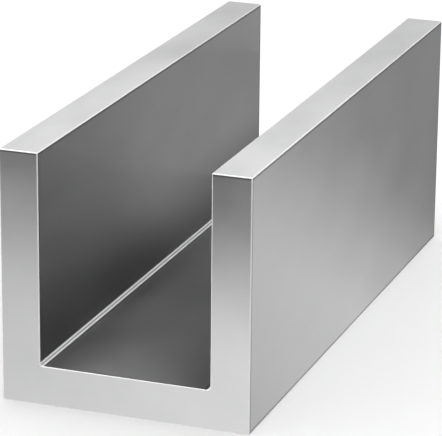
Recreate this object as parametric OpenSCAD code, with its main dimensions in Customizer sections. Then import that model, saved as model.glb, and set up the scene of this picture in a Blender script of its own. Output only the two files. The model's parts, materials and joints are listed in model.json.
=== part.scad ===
// Thick-walled channel section: a U of solid metal, cut square at both ends.
// X runs across the section, Y along its length and Z up from the underside of the web.

/* [Section] */
// Overall width, across both flanges
section_width = 101.6; // [80:0.1:250]
// Overall height, from the underside of the web to the flange tips
section_height = 101.6; // [60:0.1:250]
// Thickness of each flange
flange_thickness = 15.875; // [5:0.125:30]
// Thickness of the web
web_thickness = 15.875; // [5:0.125:40]
// Radius of the two inner corners, where the flanges meet the web
inner_radius = 1.6; // [0.4:0.1:8]

/* [Length] */
// Length of the cut piece
channel_length = 254; // [40:1:3000]

/* [Edges] */
// Leg of the 45 degree break along every sharp edge
edge_break = 0.5; // [0.1:0.1:2]

/* [Hidden] */
$fn = 96;

steel_grey = [0.62, 0.63, 0.64];
slot_width = section_width - 2 * flange_thickness;
slot_depth = section_height - web_thickness;
floor_width = slot_width - 2 * inner_radius;
// How far each cutter runs out of the metal, on the slope of the edge break
run_out = edge_break;

// Rectangle about the origin with broken corners.
module broken_rectangle(width, height) {
    x = width / 2;
    y = height / 2;
    polygon([
        [x - edge_break, -y], [x, -y + edge_break],
        [x, y - edge_break], [x - edge_break, y],
        [-x + edge_break, y], [-x, y - edge_break],
        [-x, -y + edge_break], [-x + edge_break, -y]
    ]);
}

// Solid bar of the overall size. Its end, side and plan outlines meet in twelve broken edges.
module bar() {
    translate([0, 0, section_height / 2]) intersection() {
        rotate([90, 0, 0])
            linear_extrude(channel_length, center = true)
                broken_rectangle(section_width, section_height);
        rotate([90, 0, 90])
            linear_extrude(section_width, center = true)
                broken_rectangle(channel_length, section_height);
        linear_extrude(section_height, center = true)
            broken_rectangle(section_width, channel_length);
    }
}

// Outline that breaks both edges of the slot's mouth, which lies on X and opens towards +Y.
module flared_mouth() {
    inside = slot_width / 2;
    outside = inside + edge_break + run_out;
    polygon([
        [-inside, -edge_break], [inside, -edge_break],
        [outside, run_out], [-outside, run_out]
    ]);
}

// Cross-section of the slot: flat walls and floor, round inner corners and broken flange tips.
module slot_section() {
    translate([-slot_width / 2, inner_radius])
        square([slot_width, slot_depth - inner_radius]);
    translate([-floor_width / 2, 0])
        square([floor_width, slot_depth]);
    for (side = [-1, 1])
        translate([side * floor_width / 2, inner_radius])
            circle(inner_radius);
    translate([0, slot_depth])
        flared_mouth();
}

// Edge break around the slot where it leaves the +Y end: two walls, the floor and a cone
// on each inner corner.
module slot_end_break() {
    translate([0, channel_length / 2, 0]) {
        translate([0, 0, inner_radius])
            linear_extrude(slot_depth)
                flared_mouth();
        rotate([90, 0, 90])
            linear_extrude(floor_width, center = true)
                polygon([
                    [-edge_break, 0], [run_out, -edge_break - run_out],
                    [run_out, inner_radius], [-edge_break, inner_radius]
                ]);
        for (side = [-1, 1])
            translate([side * floor_width / 2, -edge_break, inner_radius])
                rotate([-90, 0, 0])
                    cylinder(
                        h = edge_break + run_out,
                        r1 = inner_radius,
                        r2 = inner_radius + edge_break + run_out
                    );
    }
}

// Everything that is cut out of the bar between the flanges.
module slot() {
    translate([0, 0, web_thickness]) {
        rotate([90, 0, 0])
            linear_extrude(channel_length + 2 * run_out, center = true)
                slot_section();
        for (end = [0, 1])
            mirror([0, end, 0])
                slot_end_break();
    }
}

// The finished piece: a single solid with two flanges and a web.
module channel() {
    color(steel_grey) difference() {
        bar();
        slot();
    }
}

channel();
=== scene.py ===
"""Thick-walled steel channel section with a satin ground finish, on a pale studio floor."""
import json
import math

import bmesh
import bpy
from bpy.props import FloatProperty, FloatVectorProperty, IntProperty, PointerProperty
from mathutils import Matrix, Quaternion, Vector


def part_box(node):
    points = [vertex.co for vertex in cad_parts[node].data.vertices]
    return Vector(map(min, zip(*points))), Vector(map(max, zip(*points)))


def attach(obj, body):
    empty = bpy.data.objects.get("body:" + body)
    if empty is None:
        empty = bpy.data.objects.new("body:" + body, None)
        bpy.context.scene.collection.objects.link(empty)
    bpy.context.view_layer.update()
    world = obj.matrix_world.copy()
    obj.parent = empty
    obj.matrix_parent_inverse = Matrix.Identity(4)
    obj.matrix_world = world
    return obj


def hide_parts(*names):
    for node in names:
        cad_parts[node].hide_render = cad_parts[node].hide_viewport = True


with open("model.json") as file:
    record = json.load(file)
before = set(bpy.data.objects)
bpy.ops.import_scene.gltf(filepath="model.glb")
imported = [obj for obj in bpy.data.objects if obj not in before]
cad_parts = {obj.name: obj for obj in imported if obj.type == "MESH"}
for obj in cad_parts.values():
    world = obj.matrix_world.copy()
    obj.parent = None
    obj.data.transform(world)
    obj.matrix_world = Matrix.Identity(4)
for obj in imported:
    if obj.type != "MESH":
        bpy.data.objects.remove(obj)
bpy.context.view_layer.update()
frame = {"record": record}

bl_info = {
    "name": "Steel Channel Section",
    "version": (1, 0, 0),
    "blender": (4, 5, 0),
    "location": "3D View > Sidebar > Channel",
    "description": "Sweeps a thick-walled steel channel, grinds it satin and sets it in a studio",
    "category": "Add Mesh",
}

NODE = "channel"
BODY = "root"
PIECE = "ground_channel"

# Sizes that the frame states, in metres
low_corner, high_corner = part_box(NODE)
mounts = {mount["name"]: Vector(mount["pos_m"]) for mount in frame["record"]["mounts"]}
full_size = high_corner - low_corner
flange = 2 * (high_corner.x - mounts["right_flange_tip"].x)
web = mounts["slot_floor"].z - low_corner.z

# Corners of the section in order round its outline, each as across and up
SECTION_CORNERS = (
    ("left side", "underside"),
    ("right side", "underside"),
    ("right side", "tip"),
    ("right wall", "tip"),
    ("right wall", "floor"),
    ("left wall", "floor"),
    ("left wall", "tip"),
    ("left side", "tip"),
)
FILLETED = "floor"
# Turn between two faces past which the edge between them is broken
SHARP_TURN = math.radians(60.0)
# How far the shading of a flat face prevails over the rounded edges beside it
FLAT_WEIGHT = 100

# Cosines between a face's normal and an axis at which a part of the finish starts and is full
EDGE_TURN = (0.999, 0.975)
END_TURN = (0.80, 0.95)
LEVEL_TURN = (0.90, 0.99)
# Slack within which a point lies on a face
TOUCHING = 0.0001
# Distances past an edge or a fillet between which the line of painted shade beside it fades out
SHADE_LINE_FADE = (0.0003, 0.0010)
# Distances from the slot's corner, in fillet radii, between which the painted shade in a fillet's middle
# fades out
MIDDLE_FADE = (0.36, 0.48)
# Height above the slot's floor up to which shade is painted on the left wall's foot
FOOT_SHADE_HEIGHT = 0.040

# Waves to the metre of the grinding grain, across it and along it, and of the clouds on each axis
GRAIN_FINE = 2600.0
GRAIN_LONG = 25.0
CLOUDS = (40.0, 22.0, 40.0)
GRAIN_DETAIL = 2.0
CLOUD_DETAIL = 3.0
# Share of the clouds in the steel's tone, and how far the tone darkens or lightens the steel
CLOUD_SHARE = 0.8
TONE_SPREAD = 0.12
# Change of roughness with the tone, and the tones between which it grows
ROUGHNESS_WANDER = 0.025
WANDER_TONES = (0.3, 0.7)
# Strength and depth of the grain's relief
GRAIN_STRENGTH = 0.008
GRAIN_DEPTH = 0.0002

# Width of the picture in pixels, the focal length's unit, and of the sensor in millimetres
IMAGE_WIDTH = 442
SENSOR_WIDTH = 36.0

# Pale floor, and the white surrounding that lights it
FLOOR_REACH = 6.0
FLOOR_WHITE = (0.95, 0.95, 0.95, 1.0)
FLOOR_ROUGHNESS = 0.9
WORLD_WHITE = (1.0, 1.0, 1.0, 1.0)
WORLD_STRENGTH = 1.12
# Reflections that a ray may take between the slot's walls and its floor
SLOT_BOUNCES = 12

# Level cards just under the floor, in front of the channel and around it, which only show in the steel.
# Each reaches along the length from one place to another. Its shading slants by a share of the distance
# across, and its stops give strengths along the slant. Its sides give a share of them at a place on the
# left and on the right. A card without sides slants alike to the left and to the right.
CARD_DEPTH = 0.0005
CARD_ACROSS = (-0.65, 0.65)
CARD_REACH = 0.70
LEVEL_CARDS = {
    "front_card": {
        "along": (-CARD_REACH, low_corner.y),
        "slant": -0.25,
        "stops": ((-0.37, 0.0), (-0.32, 0.30), (-0.25, 1.14), (-0.15, 0.94)),
        "sides": ((-0.20, 0.78), (0.10, 1.10)),
    },
    "rear_card": {
        "along": (low_corner.y, CARD_REACH),
        "slant": -1.0,
        "stops": (
            (-0.20, 0.57), (-0.10, 0.70), (-0.04, 0.75), (0.02, 0.59), (0.06, 0.45), (0.10, 0.31),
            (0.15, 0.27), (0.25, 0.30), (0.60, 0.42),
        ),
        "sides": None,
    },
}
# Low upright card close behind the channel, which lights the slot
BACK_CARD = {"across": (-0.05, 0.05), "up": (0.0, 0.071), "gap": 0.03, "strength": 0.29}
# Softboxes that face the channel, each with its middle, its side and its strength
SOFTBOXES = {
    "key_softbox": ((0.33, -0.10, 0.62), 0.4, 7.2),
    "left_softbox": ((-0.40, -0.15, 0.57), 0.4, 5.6),
    "back_softbox": ((0.50, 0.60, 0.55), 0.4, 1.8),
    "front_softbox": ((0.25, -0.95, 0.80), 1.1, 0.6),
    "side_softbox": ((-1.00, -0.40, 0.55), 0.9, 1.8),
}
# Strengths of the sky dome, by the cosine between a direction and the dome's bright side
DOME_SKY = ((-0.20, 0.0), (0.20, 0.10), (0.70, 0.25))
DOME_RADIUS = 5.0
DOME_STEPS = 4


class ChannelSizes(bpy.types.PropertyGroup):
    """Sizes of the swept section."""

    width: FloatProperty(
        name="Width", description="Overall width across both flanges",
        default=full_size.x, unit="LENGTH", precision=5,
    )
    height: FloatProperty(
        name="Height", description="Underside of the web to the flange tips",
        default=full_size.z, unit="LENGTH", precision=5,
    )
    length: FloatProperty(
        name="Length", description="Length of the cut piece",
        default=full_size.y, unit="LENGTH", precision=5,
    )
    flange: FloatProperty(
        name="Flange Thickness", description="Thickness of each flange",
        default=flange, unit="LENGTH", precision=5,
    )
    web: FloatProperty(
        name="Web Thickness", description="Thickness of the web",
        default=web, unit="LENGTH", precision=5,
    )
    inner_radius: FloatProperty(
        name="Inner Radius", description="Fillet between the web and each flange",
        default=0.0016, unit="LENGTH", precision=5,
    )
    edge_radius: FloatProperty(
        name="Edge Radius", description="Rounding of every broken edge",
        default=0.0005, unit="LENGTH", precision=5,
    )
    edge_steps: IntProperty(
        name="Edge Steps", description="Flats that make up each rounded edge",
        default=4, min=1, max=16,
    )
    fillet_steps: IntProperty(
        name="Fillet Steps", description="Flats that make up each inner fillet",
        default=10, min=1, max=32,
    )


class SteelFinish(bpy.types.PropertyGroup):
    """Look of the ground steel."""

    colour: FloatVectorProperty(
        name="Steel", description="Reflected colour of the ground faces",
        default=(0.700, 0.701, 0.703), subtype="COLOR", size=3, min=0.0, max=1.0,
    )
    # The edges are burnished, and edges and fillets are lightened further as a painted highlight
    burnish_and_highlight_colour: FloatVectorProperty(
        name="Bright Edges", description="Reflected colour of the burnished edges and fillets",
        default=(0.94, 0.94, 0.945), subtype="COLOR", size=3, min=0.0, max=1.0,
    )
    roughness: FloatProperty(
        name="Roughness", description="Softness of reflections on the ground faces",
        default=0.33, subtype="FACTOR", min=0.0, max=1.0,
    )
    wall_roughness: FloatProperty(
        name="Wall Roughness", description="Softness of reflections on the walls of the slot",
        default=0.23, subtype="FACTOR", min=0.0, max=1.0,
    )
    floor_roughness: FloatProperty(
        name="Floor Roughness", description="Softness of reflections on the milled floor of the slot",
        default=0.31, subtype="FACTOR", min=0.0, max=1.0,
    )
    tip_roughness: FloatProperty(
        name="Tip Roughness", description="Softness of reflections on the milled flange tips",
        default=0.80, subtype="FACTOR", min=0.0, max=1.0,
    )
    edge_roughness: FloatProperty(
        name="Edge Roughness", description="Softness of reflections on the burnished edges and fillets",
        default=0.78, subtype="FACTOR", min=0.0, max=1.0,
    )
    # A line of painted shade beside each edge and fillet, as a share of the steel's colour
    shade_line_depth: FloatProperty(
        name="Edge Line", description="Brightness of the line beside each edge, as a share of the steel's",
        default=0.40, subtype="FACTOR", min=0.0, max=1.0,
    )
    # Shade painted on the left wall's foot, as a share of the steel's colour
    foot_shade_depth: FloatProperty(
        name="Wall Foot", description="Brightness of the left wall's foot, as a share of the steel's",
        default=0.28, subtype="FACTOR", min=0.0, max=1.0,
    )
    # Painted shade in each fillet's middle, which splits its painted highlight into two lines
    fillet_shade_depth: FloatProperty(
        name="Fillet Middle", description="Brightness of each fillet's middle, as a share of the edges'",
        default=0.45, subtype="FACTOR", min=0.0, max=1.0,
    )


class StudioLook(bpy.types.PropertyGroup):
    """Camera and sky of the picture."""

    camera_place: FloatVectorProperty(
        name="Camera Place", description="Where the camera stands",
        default=(0.3674, -1.0326, 0.4004), subtype="TRANSLATION", size=3, unit="LENGTH",
    )
    azimuth: FloatProperty(
        name="Azimuth", description="How far the view turns off the channel's length",
        default=math.radians(19.95), subtype="ANGLE", unit="ROTATION",
    )
    elevation: FloatProperty(
        name="Elevation", description="How far the view looks down",
        default=math.radians(18.14), subtype="ANGLE", unit="ROTATION",
    )
    roll: FloatProperty(
        name="Roll", description="Tilt of the camera about its own axis",
        default=math.radians(0.52), subtype="ANGLE", unit="ROTATION",
    )
    focal_pixels: FloatProperty(
        name="Focal Length", description="Focal length in pixels of the picture",
        default=2750.1, min=100.0,
    )
    bright_side: FloatVectorProperty(
        name="Bright Side", description="Direction from the channel to the brightest part of the dome",
        default=(0.0, -0.75, 0.65), subtype="DIRECTION", size=3,
    )


# Nodes that the section, the steel and the lights are made of

# Places of a Mix node's two ends among its inputs and of its result among its outputs
MIX_SOCKETS = {"FLOAT": (2, 3, 0), "RGBA": (6, 7, 2)}


def add_node(tree, kind, **values):
    """A new node of a tree, with its own settings."""
    node = tree.nodes.new(kind)
    for name, value in values.items():
        setattr(node, name, value)
    return node


def link(tree, source, target):
    """Joins an output socket to an input socket."""
    tree.links.new(source, target)


def feed(tree, value, target):
    """Gives an input socket another node's output or a plain value."""
    if isinstance(value, bpy.types.NodeSocket):
        link(tree, value, target)
    else:
        target.default_value = value


def math_node(tree, operation, first, second=None):
    """Output of a Math node whose inputs are sockets or plain numbers."""
    node = add_node(tree, "ShaderNodeMath", operation=operation)
    for socket, value in zip(node.inputs, (first, second)):
        if value is not None:
            feed(tree, value, socket)
    return node.outputs[0]


def math_chain(tree, operation, *values):
    """Output of a Math operation that is carried through some values."""
    result = values[0]
    for value in values[1:]:
        result = math_node(tree, operation, result, value)
    return result


def axes_of(tree, vector):
    """Outputs of a vector's parts along the three axes."""
    parts = add_node(tree, "ShaderNodeSeparateXYZ")
    link(tree, vector, parts.inputs[0])
    return parts.outputs


def map_range(tree, value, low, high, to_low=0.0, to_high=1.0):
    """Output of a smooth Map Range node."""
    node = add_node(tree, "ShaderNodeMapRange", interpolation_type="SMOOTHSTEP")
    for socket, given in zip(node.inputs, (value, low, high, to_low, to_high)):
        feed(tree, given, socket)
    return node.outputs[0]


def fade(tree, value, start, end):
    """Output that is 1 up to a start and falls smoothly to 0 at an end."""
    return map_range(tree, value, start, end, 1.0, 0.0)


def mix(tree, kind, share, first, second):
    """Output of a Mix node between two values of a kind."""
    first_place, second_place, result_place = MIX_SOCKETS[kind]
    node = add_node(tree, "ShaderNodeMix", data_type=kind)
    feed(tree, share, node.inputs[0])
    feed(tree, first, node.inputs[first_place])
    feed(tree, second, node.inputs[second_place])
    return node.outputs[result_place]


def mix_values(tree, share, first, second):
    """Output of a Mix node between two numbers."""
    return mix(tree, "FLOAT", share, first, second)


def mix_colours(tree, share, first, second):
    """Output of a Mix node between two colours."""
    return mix(tree, "RGBA", share, first, second)


def by_index(tree, kind, sources):
    """Output of an Index Switch that picks a source by the point's index."""
    switch = add_node(tree, "GeometryNodeIndexSwitch", data_type=kind)
    while len(switch.index_switch_items) < len(sources):
        switch.index_switch_items.new()
    index = add_node(tree, "GeometryNodeInputIndex")
    link(tree, index.outputs[0], switch.inputs[0])
    for place, source in enumerate(sources, start=1):
        feed(tree, source, switch.inputs[place])
    return switch.outputs[0]


# Shape of the channel

def section_outline(tree, given):
    """Closed outline of the section, with its two inner corners rounded."""
    half_width = math_node(tree, "MULTIPLY", given["Width"], 0.5)
    half_slot = math_node(tree, "SUBTRACT", half_width, given["Flange Thickness"])
    across = {
        "right side": half_width,
        "right wall": half_slot,
        "left wall": math_node(tree, "MULTIPLY", half_slot, -1.0),
        "left side": math_node(tree, "MULTIPLY", half_width, -1.0),
    }
    upwards = {"floor": given["Web Thickness"], "tip": given["Height"]}
    corners = []
    radii = []
    for x_name, z_name in SECTION_CORNERS:
        corner = add_node(tree, "ShaderNodeCombineXYZ")
        link(tree, across[x_name], corner.inputs["X"])
        if z_name in upwards:
            link(tree, upwards[z_name], corner.inputs["Y"])
        corners.append(corner.outputs[0])
        radii.append(given["Inner Radius"] if z_name == FILLETED else 0.0)

    line = add_node(tree, "GeometryNodeMeshLine")
    line.inputs["Count"].default_value = len(SECTION_CORNERS)
    outline = add_node(tree, "GeometryNodeMeshToCurve")
    link(tree, line.outputs["Mesh"], outline.inputs["Mesh"])
    closed = add_node(tree, "GeometryNodeSetSplineCyclic")
    closed.inputs["Cyclic"].default_value = True
    link(tree, outline.outputs["Curve"], closed.inputs[0])
    placed = add_node(tree, "GeometryNodeSetPosition")
    link(tree, closed.outputs[0], placed.inputs["Geometry"])
    link(tree, by_index(tree, "VECTOR", corners), placed.inputs["Position"])
    rounded = add_node(tree, "GeometryNodeFilletCurve", mode="POLY")
    rounded.inputs["Limit Radius"].default_value = True
    link(tree, placed.outputs["Geometry"], rounded.inputs["Curve"])
    link(tree, given["Fillet Steps"], rounded.inputs["Count"])
    link(tree, by_index(tree, "FLOAT", radii), rounded.inputs["Radius"])
    return rounded.outputs["Curve"]


def length_path(tree, given):
    """Straight path of the channel's length, about the origin."""
    path = add_node(tree, "GeometryNodeCurvePrimitiveLine")
    for end, share in (("Start", -0.5), ("End", 0.5)):
        point = add_node(tree, "ShaderNodeCombineXYZ")
        link(tree, math_node(tree, "MULTIPLY", given["Length"], share), point.inputs["Z"])
        link(tree, point.outputs[0], path.inputs[end])
    return path.outputs[0]


def sweep_tree():
    """Geometry Nodes tree that sweeps the section along the length and marks the edges to break."""
    tree = bpy.data.node_groups.new("Channel Sweep", "GeometryNodeTree")
    for name in ("Width", "Height", "Length", "Flange Thickness", "Web Thickness", "Inner Radius"):
        socket = tree.interface.new_socket(name, in_out="INPUT", socket_type="NodeSocketFloat")
        socket.subtype = "DISTANCE"
    tree.interface.new_socket("Fillet Steps", in_out="INPUT", socket_type="NodeSocketInt")
    tree.interface.new_socket("Steel", in_out="INPUT", socket_type="NodeSocketMaterial")
    tree.interface.new_socket("Geometry", in_out="OUTPUT", socket_type="NodeSocketGeometry")
    given = add_node(tree, "NodeGroupInput").outputs

    sweep = add_node(tree, "GeometryNodeCurveToMesh")
    sweep.inputs["Fill Caps"].default_value = True
    link(tree, length_path(tree, given), sweep.inputs["Curve"])
    link(tree, section_outline(tree, given), sweep.inputs["Profile Curve"])
    upright = add_node(tree, "GeometryNodeTransform")
    upright.inputs["Rotation"].default_value = (math.radians(90.0), 0.0, 0.0)
    link(tree, sweep.outputs["Mesh"], upright.inputs["Geometry"])

    # Every edge but the fillets' own is sharp, and gets broken
    angle = add_node(tree, "GeometryNodeInputMeshEdgeAngle")
    sharp = math_node(tree, "GREATER_THAN", angle.outputs["Unsigned Angle"], SHARP_TURN)
    marked = add_node(tree, "GeometryNodeStoreNamedAttribute", data_type="FLOAT", domain="EDGE")
    marked.inputs["Name"].default_value = "bevel_weight_edge"
    link(tree, upright.outputs["Geometry"], marked.inputs["Geometry"])
    link(tree, sharp, marked.inputs["Value"])

    smooth = add_node(tree, "GeometryNodeSetShadeSmooth")
    link(tree, marked.outputs["Geometry"], smooth.inputs["Geometry"])
    realized = add_node(tree, "GeometryNodeRealizeInstances")
    link(tree, smooth.outputs["Geometry"], realized.inputs["Geometry"])
    painted = add_node(tree, "GeometryNodeSetMaterial")
    link(tree, realized.outputs["Geometry"], painted.inputs["Geometry"])
    link(tree, given["Steel"], painted.inputs["Material"])
    result = add_node(tree, "NodeGroupOutput")
    link(tree, painted.outputs["Geometry"], result.inputs["Geometry"])
    return tree


def set_inputs(modifier, values):
    """Sets a Geometry Nodes modifier's inputs, which are stored by their sockets' identifiers."""
    for item in modifier.node_group.interface.items_tree:
        if item.item_type == "SOCKET" and item.in_out == "INPUT":
            modifier[item.identifier] = values[item.name]


def rough_channel(sizes, steel):
    """The swept section with its edges rounded, as an object whose modifiers are live."""
    rough = bpy.data.objects.new("swept_section", bpy.data.meshes.new("swept_section"))
    bpy.context.scene.collection.objects.link(rough)
    nodes = rough.modifiers.new("Sweep", "NODES")
    nodes.node_group = sweep_tree()
    set_inputs(nodes, {
        "Width": sizes.width,
        "Height": sizes.height,
        "Length": sizes.length,
        "Flange Thickness": sizes.flange,
        "Web Thickness": sizes.web,
        "Inner Radius": sizes.inner_radius,
        "Fillet Steps": sizes.fillet_steps,
        "Steel": steel,
    })
    edges = rough.modifiers.new("Broken Edges", "BEVEL")
    edges.limit_method = "WEIGHT"
    edges.width = sizes.edge_radius
    edges.segments = sizes.edge_steps
    shading = rough.modifiers.new("Flat Faces", "WEIGHTED_NORMAL")
    shading.weight = FLAT_WEIGHT
    return rough


def plain_piece(name, rough):
    """A plain mesh object made from another's evaluated shape, which is then removed."""
    graph = bpy.context.evaluated_depsgraph_get()
    mesh = bpy.data.meshes.new_from_object(rough.evaluated_get(graph), depsgraph=graph)
    mesh.name = name
    piece = bpy.data.objects.new(name, mesh)
    bpy.context.scene.collection.objects.link(piece)
    bpy.data.objects.remove(rough)
    return piece


# Finish of the steel

def streaks(tree, place, waves, detail):
    """Output of a noise with its own waves to the metre on each axis."""
    mapping = add_node(tree, "ShaderNodeMapping")
    link(tree, place, mapping.inputs["Vector"])
    mapping.inputs["Scale"].default_value = waves
    noise = add_node(tree, "ShaderNodeTexNoise")
    link(tree, mapping.outputs[0], noise.inputs["Vector"])
    noise.inputs["Scale"].default_value = 1.0
    noise.inputs["Detail"].default_value = detail
    return noise.outputs["Fac"]


def on_slot(tree, from_wall, from_floor, radius):
    """Where a point lies on the slot's walls, floor and fillets, from its depths into the slot."""
    short = add_node(tree, "ShaderNodeCombineXYZ")
    for axis, depth in enumerate((from_wall, from_floor)):
        lacking = math_node(tree, "MAXIMUM", math_node(tree, "SUBTRACT", radius, depth), 0.0)
        link(tree, lacking, short.inputs[axis])
    reach = add_node(tree, "ShaderNodeVectorMath", operation="LENGTH")
    link(tree, short.outputs[0], reach.inputs[0])
    outside = math_node(tree, "SUBTRACT", reach.outputs["Value"], radius)
    return math_node(tree, "LESS_THAN", outside, TOUCHING)


def finish_masks(tree, surface, sizes):
    """Where each part of the finish and of the painted shade lies, from a point's place and the way its
    face looks.
    """
    x, y, z = axes_of(tree, surface.outputs["Object"])
    turned = [math_node(tree, "ABSOLUTE", part) for part in axes_of(tree, surface.outputs["Normal"])]
    radius = sizes.inner_radius
    line_start, line_end = SHADE_LINE_FADE

    # A face that looks along no axis is an edge or a fillet
    masks = {
        "edge": map_range(tree, math_chain(tree, "MAXIMUM", *turned), *EDGE_TURN),
        "end": map_range(tree, turned[1], *END_TURN),
        "level": map_range(tree, turned[2], *LEVEL_TURN),
    }

    # Depths into the slot, which are negative inside the metal
    across = math_node(tree, "ABSOLUTE", x)
    from_wall = math_node(tree, "SUBTRACT", sizes.width / 2 - sizes.flange, across)
    from_floor = math_node(tree, "SUBTRACT", z, sizes.web)
    masks["slot"] = on_slot(tree, from_wall, from_floor, radius)

    to_tip = math_node(tree, "SUBTRACT", sizes.height, z)
    high = math_node(tree, "LESS_THAN", to_tip, TOUCHING)
    masks["tip"] = math_node(tree, "MULTIPLY", high, masks["level"])

    # Shade painted on the left wall's foot, darkest at the slot's floor and fading out upwards
    low = fade(tree, from_floor, 0.0, FOOT_SHADE_HEIGHT)
    upright = math_node(tree, "SUBTRACT", 1.0, masks["level"])
    left = math_node(tree, "LESS_THAN", x, 0.0)
    masks["foot"] = math_chain(tree, "MULTIPLY", low, upright, left, masks["slot"])

    # Distance from the slot's nearer corner, along its walls, its floor and its fillets
    corner = math_node(tree, "MAXIMUM", from_wall, from_floor)
    # Painted shade in each fillet's middle
    middle = fade(tree, corner, *[share * radius for share in MIDDLE_FADE])
    masks["fillet middle"] = math_node(tree, "MULTIPLY", middle, masks["slot"])
    # The line of painted shade beside each fillet
    past_fillet = fade(tree, corner, radius + line_start, radius + line_end)
    beside_fillet = math_node(tree, "MULTIPLY", past_fillet, masks["slot"])

    # Distances to the ends, the tips and the underside, put far off on faces that lie along them.
    # The tips carry no line of painted shade.
    to_end = math_node(tree, "SUBTRACT", sizes.length / 2, math_node(tree, "ABSOLUTE", y))
    nearest = math_chain(
        tree, "MINIMUM",
        math_chain(tree, "ADD", to_end, turned[1], masks["tip"]),
        math_node(tree, "ADD", to_tip, turned[2]),
        math_node(tree, "ADD", z, turned[2]),
    )
    # The line of painted shade beside each broken edge, joined with the one beside the fillets
    broken = sizes.edge_radius
    beside_edge = fade(tree, nearest, broken + line_start, broken + line_end)
    masks["beside"] = math_node(tree, "MAXIMUM", beside_edge, beside_fillet)
    return masks


def toned(colour, share=1.0):
    """A share of a colour, as a colour that covers in full."""
    return (*[share * part for part in colour], 1.0)


def ground_steel(finish, sizes):
    """Satin ground steel: fine grain along the length and milled flange tips. Its edges are burnished and,
    with its fillets, lightened further as a painted highlight; painted shade darkens a line beside each
    edge and fillet, the middle of each fillet and the foot of the left wall.
    """
    material = bpy.data.materials.new("satin_ground_steel")
    material.use_nodes = True
    tree = material.node_tree
    shader = tree.nodes["Principled BSDF"]
    shader.inputs["Metallic"].default_value = 1.0
    surface = add_node(tree, "ShaderNodeTexCoord")
    place = surface.outputs["Object"]
    masks = finish_masks(tree, surface, sizes)

    along = streaks(tree, place, (GRAIN_FINE, GRAIN_LONG, GRAIN_FINE), GRAIN_DETAIL)
    across = streaks(tree, place, (GRAIN_LONG, GRAIN_FINE, GRAIN_FINE), GRAIN_DETAIL)
    grain = mix_values(tree, masks["end"], along, across)
    clouds = streaks(tree, place, CLOUDS, CLOUD_DETAIL)
    tone = mix_values(tree, CLOUD_SHARE, grain, clouds)

    dark = toned(finish.colour, 1.0 - TONE_SPREAD)
    light = toned(finish.colour, 1.0 + TONE_SPREAD)
    steel = mix_colours(tree, tone, dark, light)
    # Shade painted on the left wall's foot
    foot_shaded = mix_colours(tree, masks["foot"], steel, toned(finish.colour, finish.foot_shade_depth))
    # Line of painted shade beside the edges and fillets
    lined = mix_colours(tree, masks["beside"], foot_shaded, toned(finish.colour, finish.shade_line_depth))
    # Painted shade in each fillet's middle, between two painted highlight lines
    fillet_middle_shade = toned(finish.burnish_and_highlight_colour, finish.fillet_shade_depth)
    # Burnished edges, with edges and fillets lightened further as a painted highlight
    bright = mix_colours(tree, masks["fillet middle"], toned(finish.burnish_and_highlight_colour), fillet_middle_shade)
    link(tree, mix_colours(tree, masks["edge"], lined, bright), shader.inputs["Base Color"])

    slot = mix_values(tree, masks["level"], finish.wall_roughness, finish.floor_roughness)
    faces = mix_values(tree, masks["slot"], finish.roughness, slot)
    milled = mix_values(tree, masks["tip"], faces, finish.tip_roughness)
    finished = mix_values(tree, masks["edge"], milled, finish.edge_roughness)
    wander = map_range(tree, tone, *WANDER_TONES, -ROUGHNESS_WANDER, ROUGHNESS_WANDER)
    link(tree, math_node(tree, "ADD", finished, wander), shader.inputs["Roughness"])

    bump = add_node(tree, "ShaderNodeBump")
    bump.inputs["Strength"].default_value = GRAIN_STRENGTH
    bump.inputs["Distance"].default_value = GRAIN_DEPTH
    link(tree, grain, bump.inputs["Height"])
    link(tree, bump.outputs[0], shader.inputs["Normal"])
    return material


# Floor, lights and camera

def stage_piece(name, mesh, material):
    """An object of the stage."""
    mesh.materials.append(material)
    piece = bpy.data.objects.new(name, mesh)
    bpy.context.scene.collection.objects.link(piece)
    return piece


def sheet(name, corners, material):
    """A flat sheet of the stage between four corners."""
    mesh = bpy.data.meshes.new(name)
    mesh.from_pydata(corners, [], [(0, 1, 2, 3)])
    return stage_piece(name, mesh, material)


def level_corners(x_range, y_range, height):
    """Corners of a level rectangle."""
    (left, right), (front, back) = x_range, y_range
    return [(left, front, height), (right, front, height), (right, back, height), (left, back, height)]


def upright_corners(x_range, z_range, along):
    """Corners of an upright rectangle across the length."""
    (left, right), (low, high) = x_range, z_range
    return [(left, along, low), (right, along, low), (right, along, high), (left, along, high)]


def facing_corners(middle, side):
    """Corners of a square that faces the channel's top."""
    away = Vector(middle) - Vector((0.0, 0.0, full_size.z))
    across = away.cross(Vector((0.0, 0.0, 1.0))).normalized() * side / 2
    rise = across.cross(away).normalized() * side / 2
    return [Vector(middle) + x * across + z * rise for x, z in ((-1, -1), (1, -1), (1, 1), (-1, 1))]


def white_floor():
    """A plain pale floor, which stays out of the steel."""
    paint = bpy.data.materials.new("floor_white")
    paint.use_nodes = True
    shader = paint.node_tree.nodes["Principled BSDF"]
    shader.inputs["Base Color"].default_value = FLOOR_WHITE
    shader.inputs["Roughness"].default_value = FLOOR_ROUGHNESS
    shader.inputs["Specular IOR Level"].default_value = 0.0
    reach = (-FLOOR_REACH, FLOOR_REACH)
    floor = sheet("floor", level_corners(reach, reach, 0.0), paint)
    floor.visible_glossy = False


def white_world(scene):
    """A plain white surrounding, which lights the floor and stays out of the steel."""
    world = bpy.data.worlds.new("studio")
    scene.world = world
    world.use_nodes = True
    white = world.node_tree.nodes["Background"]
    white.inputs["Color"].default_value = WORLD_WHITE
    white.inputs["Strength"].default_value = WORLD_STRENGTH
    world.cycles_visibility.glossy = False


def only_in_steel(piece):
    """Keeps a light out of everything but the steel's reflections."""
    piece.visible_camera = False
    piece.visible_diffuse = False
    piece.visible_transmission = False
    piece.visible_shadow = False


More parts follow.
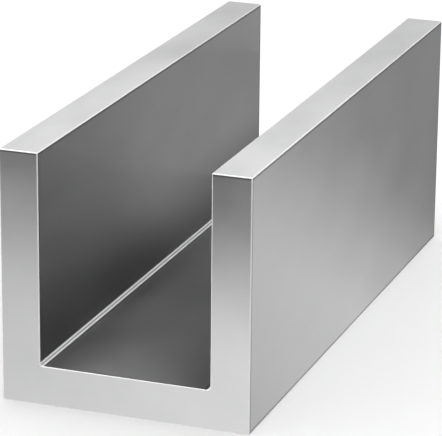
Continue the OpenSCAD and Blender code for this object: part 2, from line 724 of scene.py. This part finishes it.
def glow_tree(name):
    """A new material that glows, with its tree and the node that gives its light."""
    material = bpy.data.materials.new(name)
    material.use_nodes = True
    tree = material.node_tree
    tree.nodes.remove(tree.nodes["Principled BSDF"])
    glow = add_node(tree, "ShaderNodeEmission")
    link(tree, glow.outputs[0], tree.nodes["Material Output"].inputs["Surface"])
    return material, tree, glow


def strength_ramp(tree, value, stops):
    """Colour of a soft ramp that gives a strength at places of a value, and the greatest strength."""
    places, strengths = zip(*stops)
    first = places[0]
    last = places[-1]
    peak = max(strengths)
    ramp = add_node(tree, "ShaderNodeValToRGB")
    ramp.color_ramp.interpolation = "EASE"
    # A new ramp has a point at each end
    points = ramp.color_ramp.elements
    for place in places[1:-1]:
        points.new((place - first) / (last - first))
    for point, strength in zip(points, strengths):
        point.color = toned((strength / peak,) * 3)
    share = add_node(tree, "ShaderNodeMapRange")
    link(tree, value, share.inputs["Value"])
    share.inputs["From Min"].default_value = first
    share.inputs["From Max"].default_value = last
    link(tree, share.outputs[0], ramp.inputs["Fac"])
    return ramp.outputs["Color"], peak


def card_glow(name, stops, slant=0.0, sides=None):
    """A glow whose strength changes along a slant, and from side to side if asked."""
    material, tree, glow = glow_tree(name)
    place = add_node(tree, "ShaderNodeTexCoord").outputs["Object"]
    x, y = axes_of(tree, place)[:2]
    sideways = x if sides else math_node(tree, "ABSOLUTE", x)
    along = math_node(tree, "ADD", y, math_node(tree, "MULTIPLY", sideways, slant))
    colour, peak = strength_ramp(tree, along, stops)
    link(tree, colour, glow.inputs["Color"])
    strength = peak
    if sides:
        (left, left_share), (right, right_share) = sides
        strength = map_range(tree, x, left, right, peak * left_share, peak * right_share)
    feed(tree, strength, glow.inputs["Strength"])
    return material


def even_glow(name, strength):
    """A plain white glow."""
    return card_glow(name, ((0.0, strength), (1.0, strength)))


def glow_cards():
    """The level cards, the softboxes and the back card, which only show in the steel."""
    cards = {}
    for name, card in LEVEL_CARDS.items():
        light = card_glow(name, card["stops"], card["slant"], card["sides"])
        cards[name] = (level_corners(CARD_ACROSS, card["along"], -CARD_DEPTH), light)
    for name, (middle, side, strength) in SOFTBOXES.items():
        cards[name] = (facing_corners(middle, side), even_glow(name, strength))
    behind = high_corner.y + BACK_CARD["gap"]
    corners = upright_corners(BACK_CARD["across"], BACK_CARD["up"], behind)
    cards["back_card"] = (corners, even_glow("back_card", BACK_CARD["strength"]))
    for name, (corners, light) in cards.items():
        only_in_steel(sheet(name, corners, light))


def sky_dome(bright_side):
    """A dome that shows in the steel as a soft sky, dark behind the channel."""
    material, tree, glow = glow_tree("sky_dome")
    # Reflections reach the dome by themselves, so no light is aimed from it
    material.cycles.emission_sampling = "NONE"
    outward = add_node(tree, "ShaderNodeVectorMath", operation="NORMALIZE")
    link(tree, add_node(tree, "ShaderNodeTexCoord").outputs["Object"], outward.inputs[0])
    towards = add_node(tree, "ShaderNodeVectorMath", operation="DOT_PRODUCT")
    link(tree, outward.outputs[0], towards.inputs[0])
    towards.inputs[1].default_value = Vector(bright_side).normalized()
    colour, peak = strength_ramp(tree, towards.outputs["Value"], DOME_SKY)
    link(tree, colour, glow.inputs["Color"])
    glow.inputs["Strength"].default_value = peak

    ball = bmesh.new()
    bmesh.ops.create_icosphere(ball, subdivisions=DOME_STEPS, radius=DOME_RADIUS)
    mesh = bpy.data.meshes.new("sky_dome")
    ball.to_mesh(mesh)
    ball.free()
    only_in_steel(stage_piece("sky_dome", mesh, material))


def picture_camera(look):
    """The camera, turned to the picture's angle."""
    lens = bpy.data.cameras.new("camera")
    lens.sensor_width = SENSOR_WIDTH
    lens.lens = SENSOR_WIDTH * look.focal_pixels / IMAGE_WIDTH
    camera = bpy.data.objects.new("camera", lens)
    forward = Vector((
        -math.sin(look.azimuth) * math.cos(look.elevation),
        math.cos(look.azimuth) * math.cos(look.elevation),
        -math.sin(look.elevation),
    ))
    camera.rotation_mode = "QUATERNION"
    camera.rotation_quaternion = forward.to_track_quat("-Z", "Y") @ Quaternion((0, 0, 1), look.roll)
    camera.location = look.camera_place
    bpy.context.scene.collection.objects.link(camera)
    return camera


class CHANNEL_OT_sweep(bpy.types.Operator):
    """Sweep the channel's section along its length and finish it as ground steel"""

    bl_idname = "channel.sweep"
    bl_label = "Ground Channel"

    def execute(self, context):
        sizes = context.scene.channel_sizes
        steel = ground_steel(context.scene.channel_finish, sizes)
        piece = plain_piece(PIECE, rough_channel(sizes, steel))
        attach(piece, BODY)
        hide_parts(NODE)
        return {"FINISHED"}


class CHANNEL_OT_studio(bpy.types.Operator):
    """Set up the floor, the lights and the camera"""

    bl_idname = "channel.studio"
    bl_label = "Studio"

    def execute(self, context):
        scene = context.scene
        look = scene.channel_studio
        white_floor()
        white_world(scene)
        glow_cards()
        sky_dome(look.bright_side)
        scene.view_settings.view_transform = "Standard"
        scene.cycles.glossy_bounces = SLOT_BOUNCES
        scene.camera = picture_camera(look)
        return {"FINISHED"}


class CHANNEL_PT_sidebar(bpy.types.Panel):
    """Lists the channel's pieces and its studio"""

    bl_idname = "CHANNEL_PT_sidebar"
    bl_label = "Channel Section"
    bl_space_type = "VIEW_3D"
    bl_region_type = "UI"
    bl_category = "Channel"

    def draw(self, context):
        groups = (
            (context.scene.channel_sizes, None),
            (context.scene.channel_finish, CHANNEL_OT_sweep),
            (context.scene.channel_studio, CHANNEL_OT_studio),
        )
        for group, operator in groups:
            box = self.layout.box()
            for name in group.__annotations__:
                box.prop(group, name)
            if operator:
                box.operator(operator.bl_idname)


GROUPS = {
    "channel_sizes": ChannelSizes,
    "channel_finish": SteelFinish,
    "channel_studio": StudioLook,
}
CLASSES = (*GROUPS.values(), CHANNEL_OT_sweep, CHANNEL_OT_studio, CHANNEL_PT_sidebar)


def register():
    """Makes the classes and the scene's settings known to Blender."""
    for item in CLASSES:
        bpy.utils.register_class(item)
    for name, group in GROUPS.items():
        setattr(bpy.types.Scene, name, PointerProperty(type=group))


def unregister():
    """Takes the scene's settings and the classes out again."""
    for name in GROUPS:
        delattr(bpy.types.Scene, name)
    for item in reversed(CLASSES):
        bpy.utils.unregister_class(item)


def main():
    """Makes the channel and its studio."""
    register()
    bpy.ops.channel.sweep()
    bpy.ops.channel.studio()


if __name__ == "__main__":
    main()
